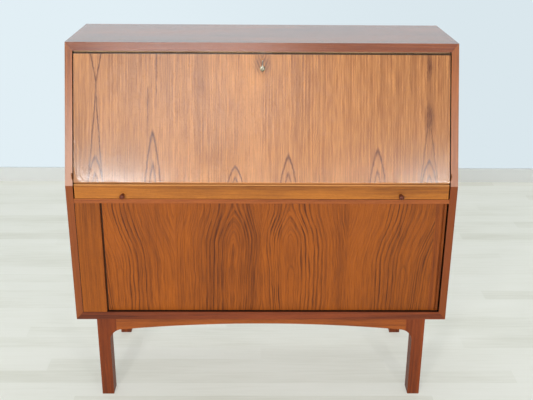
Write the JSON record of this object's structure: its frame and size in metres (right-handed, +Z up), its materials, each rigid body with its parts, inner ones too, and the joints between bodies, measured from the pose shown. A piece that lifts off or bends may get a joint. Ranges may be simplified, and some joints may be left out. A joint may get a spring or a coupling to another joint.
{
  "type": "secretary desk",
  "caption": "Teak secretary desk: sloped drop-front flap with lock over a shallow drawer, tambour cupboard below, on a leg frame with arched aprons.",
  "frame": {"origin": "on the floor, under the centre of the whole outline with the drawer knobs", "axes": "+X to the right along the width, +Y from the front to the back, +Z up"},
  "size_m": [1.1, 0.467, 1.072],
  "materials": {
    "teak_case": "satin oiled",
    "teak_flap": "satin oiled",
    "teak_light": "satin oiled",
    "teak_tambour": "satin oiled",
    "teak_legs": "satin oiled",
    "teak_rails": "satin oiled",
    "teak_turned": "satin oiled",
    "teak_inside": "satin oiled",
    "plywood": "raw",
    "beech": "satin lacquer",
    "brass": "brushed",
    "key_nickel": "worn plating",
    "steel": "brushed",
    "canvas": "woven"
  },
  "bodies": {
    "case": {"side_left": "teak_case", "side_right": "teak_case", "top_board": "teak_case", "bottom_board": "teak_case", "divider_board": "teak_case", "writing_shelf": "teak_case", "back_panel": "plywood", "strike_plate": "brass", "flap_stop": "beech", "flap_pivots": "brass", "tambour_stile": "teak_light", "tambour_slats": "teak_tambour", "tambour_canvas": "canvas", "liner_left": "plywood", "liner_back": "plywood", "partition": "teak_inside", "shelf_left": "teak_inside", "shelf_right": "teak_inside", "shelf_battens": "beech", "pigeonhole_shelf": "teak_inside", "pigeonhole_divider_left": "teak_inside", "pigeonhole_divider_right": "teak_inside", "letter_shelf_left": "teak_inside", "letter_shelf_right": "teak_inside", "leg_front_left": "teak_legs", "leg_front_right": "teak_legs", "leg_rear_left": "teak_legs", "leg_rear_right": "teak_legs", "apron_front": "teak_rails", "apron_rear": "teak_rails", "side_rail_left": "teak_rails", "side_rail_right": "teak_rails", "corner_blocks": "beech", "base_screws": "steel"},
    "flap": {"flap_panel": "teak_flap", "pivot_bushes": "brass", "lock_case": "steel", "escutcheon": "brass"},
    "bolt": {"lock_bolt": "brass"},
    "key": {"key": "key_nickel"},
    "drawer": {"drawer_front": "teak_light", "drawer_side_left": "beech", "drawer_side_right": "beech", "drawer_back": "beech", "drawer_bottom": "plywood", "drawer_knobs": "teak_turned"},
    "tambour_lead": {"lead_rail": "teak_tambour"},
    "small_drawer_left": {"small_drawer_front_left": "teak_inside", "small_drawer_tray_left": "beech"},
    "small_drawer_middle": {"small_drawer_front_middle": "teak_inside", "small_drawer_tray_middle": "beech"},
    "small_drawer_right": {"small_drawer_front_right": "teak_inside", "small_drawer_tray_right": "beech"}
  },
  "joints": [
    {"name": "flap_hinge", "type": "hinge", "parent": "case", "child": "flap", "pos_m": [0, -0.20153, 0.7084], "axis": [1, 0, 0], "range_deg": [0, 110.4]},
    {"name": "drawer_slide", "type": "slide", "parent": "case", "child": "drawer", "axis": [0, -1, 0], "range_m": [0, 0.26]},
    {"name": "tambour_slide", "type": "slide", "parent": "case", "child": "tambour_lead", "axis": [-1, 0, 0], "range_m": [0, 0.943], "deforming": ["tambour_slats", "tambour_canvas"]},
    {"name": "key_turn", "type": "hinge", "parent": "flap", "child": "key", "pos_m": [0, -0.10073, 1.00404], "axis": [0, -0.9396, 0.3423], "range_deg": [0, 90]},
    {"name": "bolt_slide", "type": "slide", "parent": "flap", "child": "bolt", "axis": [0, 0.3423, 0.9396], "range_m": [0, 0.01]},
    {"name": "small_drawer_left_slide", "type": "slide", "parent": "case", "child": "small_drawer_left", "axis": [0, -1, 0], "range_m": [0, 0.12]},
    {"name": "small_drawer_middle_slide", "type": "slide", "parent": "case", "child": "small_drawer_middle", "axis": [0, -1, 0], "range_m": [0, 0.12]},
    {"name": "small_drawer_right_slide", "type": "slide", "parent": "case", "child": "small_drawer_right", "axis": [0, -1, 0], "range_m": [0, 0.12]}
  ],
  "couplings": [
    {"joint": "bolt_slide", "follows": "key_turn", "m_per_rad": 0.00636}
  ]
}
